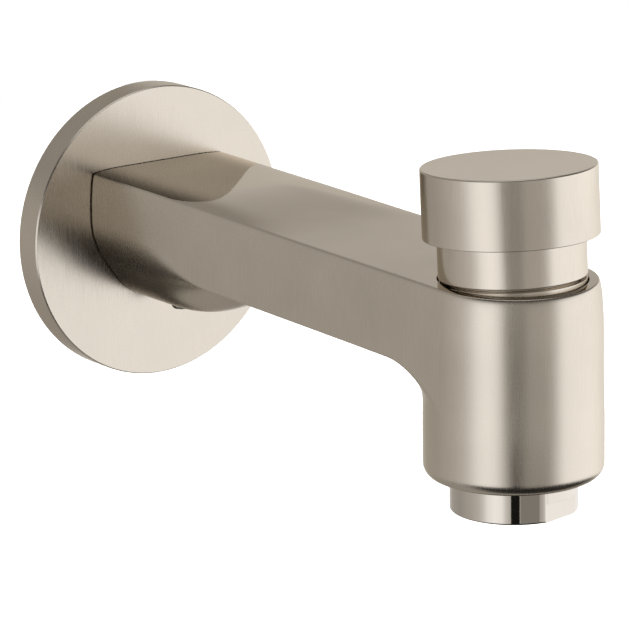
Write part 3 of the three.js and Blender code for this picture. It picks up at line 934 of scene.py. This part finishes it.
def sheet(name, corners):
    """One flat face, linked to the scene."""
    data = bpy.data.meshes.new(name)
    data.from_pydata(corners, [], [(0, 1, 2, 3)])
    piece = bpy.data.objects.new(name, data)
    bpy.context.scene.collection.objects.link(piece)
    return piece


def make_floor():
    half, z = FLOOR_HALF, FLOOR_Z
    corners = [(-half, -half, z), (half, -half, z), (half, half, z), (-half, half, z)]
    floor = sheet("floor", corners)
    material, tree, shader = new_material("pale_floor")
    shader.inputs["Base Color"].default_value = (0.93, 0.93, 0.93, 1)
    shader.inputs["Roughness"].default_value = 1.0
    shader.inputs["Specular IOR Level"].default_value = 0.0
    floor.data.materials.append(material)
    floor.visible_glossy = False


def panel_light(level):
    """Bright panels are a little cooler than the dim room."""
    cool = smooth((level - 0.4) / 0.7)
    return (level, level * lerp(0.955, 1.0, cool), level * lerp(0.89, 1.01, cool))


def fade(tree, value, start, end, first, last):
    """Goes from one light to another while a coordinate runs from start to end.

    A light is a node's output or a plain level.
    """
    share = tree.nodes.new("ShaderNodeMapRange")
    share.interpolation_type = "SMOOTHSTEP"
    share.inputs["From Min"].default_value = start
    share.inputs["From Max"].default_value = end
    mixed = tree.nodes.new("ShaderNodeMix")
    mixed.data_type = "RGBA"
    tree.links.new(value, share.inputs["Value"])
    tree.links.new(share.outputs["Result"], mixed.inputs["Factor"])
    for side, light in (("A", first), ("B", last)):
        if isinstance(light, float):
            mixed.inputs[side].default_value = (*panel_light(light), 1)
        else:
            tree.links.new(light, mixed.inputs[side])
    return mixed.outputs["Result"]


# Light by compass direction in degrees, 0 in front of the spout and 90 to its right.
BANDS = [
    (-180, 0.49), (-150, 0.45), (-120, 0.58), (-104, 0.7), (-95, 0.88), (-86, 1.2),
    (-72, 1.36), (-60, 1.26), (-52, 0.85), (-44, 0.62), (-32, 0.57), (-22, 0.52),
    (-16, 0.5), (6, 0.52), (13, 0.62), (19, 0.88), (26, 1.3), (76, 1.36),
    (98, 1.3), (120, 1.1), (144, 1.0), (165, 0.62), (180, 0.49),
]


def compass(tree, split):
    """Compass direction of a ray, from 0 at -180 degrees to 1 at 180."""
    back = tree.nodes.new("ShaderNodeMath")
    back.operation = "MULTIPLY"
    back.inputs[1].default_value = -1
    tree.links.new(split.outputs["Y"], back.inputs[0])
    turn = tree.nodes.new("ShaderNodeMath")
    turn.operation = "ARCTAN2"
    tree.links.new(split.outputs["X"], turn.inputs[0])
    tree.links.new(back.outputs["Value"], turn.inputs[1])
    share = tree.nodes.new("ShaderNodeMapRange")
    share.inputs["From Min"].default_value = -math.pi
    share.inputs["From Max"].default_value = math.pi
    tree.links.new(turn.outputs["Value"], share.inputs["Value"])
    return share.outputs["Result"]


def band_ramp(tree, share):
    """Light of the panels at that share of the compass."""
    ramp = tree.nodes.new("ShaderNodeValToRGB")
    ramp.color_ramp.interpolation = "LINEAR"
    stops = ramp.color_ramp.elements
    while len(stops) < len(BANDS):
        stops.new(0.5)
    for stop, (degrees, _) in zip(stops, BANDS):
        stop.position = (degrees + 180) / 360
    for stop, (_, level) in zip(stops, BANDS):
        stop.color = (*panel_light(level), 1)
    tree.links.new(share, ramp.inputs["Fac"])
    return ramp.outputs["Color"]


def make_studio():
    """Tall soft panels round the object, as bands of light by compass direction."""
    world = bpy.data.worlds.new("studio")
    bpy.context.scene.world = world
    world.use_nodes = True
    tree = world.node_tree
    tree.nodes.clear()
    link = tree.links.new

    where = tree.nodes.new("ShaderNodeTexCoord")
    split = tree.nodes.new("ShaderNodeSeparateXYZ")
    link(where.outputs["Generated"], split.inputs["Vector"])
    bands = band_ramp(tree, compass(tree, split))

    # The panels end a little above eye level and well below it; straight above hangs another.
    depth, height = split.outputs["Y"], split.outputs["Z"]
    over = fade(tree, depth, -0.1, 0.3, 0.07, 0.36)
    under = fade(tree, depth, -0.1, 0.3, 0.03, 0.4)
    panels = fade(tree, height, 0.1, 0.37, bands, over)
    panels = fade(tree, height, -0.38, -0.56, panels, under)
    panels = fade(tree, height, 0.75, 0.95, panels, 0.8)

    # What the camera sees directly, past the floor, is plain white.
    path = tree.nodes.new("ShaderNodeLightPath")
    seen = tree.nodes.new("ShaderNodeMix")
    seen.data_type = "RGBA"
    seen.inputs["B"].default_value = (1, 1, 1, 1)
    link(path.outputs["Is Camera Ray"], seen.inputs["Factor"])
    link(panels, seen.inputs["A"])
    background = tree.nodes.new("ShaderNodeBackground")
    link(seen.outputs["Result"], background.inputs["Color"])
    output = tree.nodes.new("ShaderNodeOutputWorld")
    link(background.outputs["Background"], output.inputs["Surface"])


def make_overhead():
    data = bpy.data.lights.new("overhead", "AREA")
    data.shape = "SQUARE"
    data.size = 3.0
    data.energy = 150
    light = bpy.data.objects.new("overhead", data)
    light.location = (0, -0.1, 2.0)
    light.visible_glossy = False
    bpy.context.scene.collection.objects.link(light)


def studio_card(name, turn, out, half, low, high, level):
    """Upright card near the spout, seen only in reflections, that evens or darkens one of them."""
    corners = [(-half, 0, low), (half, 0, low), (half, 0, high), (-half, 0, high)]
    card = sheet(name, corners)
    turn = math.radians(turn)
    card.location = (out * math.sin(turn), -REACH * MM - out * math.cos(turn), 0)
    card.rotation_euler = (0, 0, turn)
    material, tree, shader = new_material(name)
    shader.inputs["Base Color"].default_value = (0, 0, 0, 1)
    shader.inputs["Specular IOR Level"].default_value = 0.0
    shader.inputs["Emission Color"].default_value = (*panel_light(level), 1)
    shader.inputs["Emission Strength"].default_value = 1.0
    card.data.materials.append(material)
    card.visible_camera = False
    card.visible_diffuse = False
    card.visible_shadow = False


make_floor()
make_studio()
make_overhead()
studio_card("black_card", -36, 0.315, 0.042, -0.26, -0.108, 0.012)
studio_card("grey_card", -36, 0.315, 0.075, -0.108, 0.06, 0.34)
studio_card("low_card", -10, 0.315, 0.096, -0.26, -0.112, 0.31)
studio_card("shade_card", -12, 0.09, 0.06, -0.2, -0.074, 0.02)
studio_card("rear_card", 147, 0.376, 0.1, -0.01, 0.09, 0.69)
bpy.context.scene.view_settings.view_transform = "Standard"
bpy.context.scene.view_settings.look = "None"
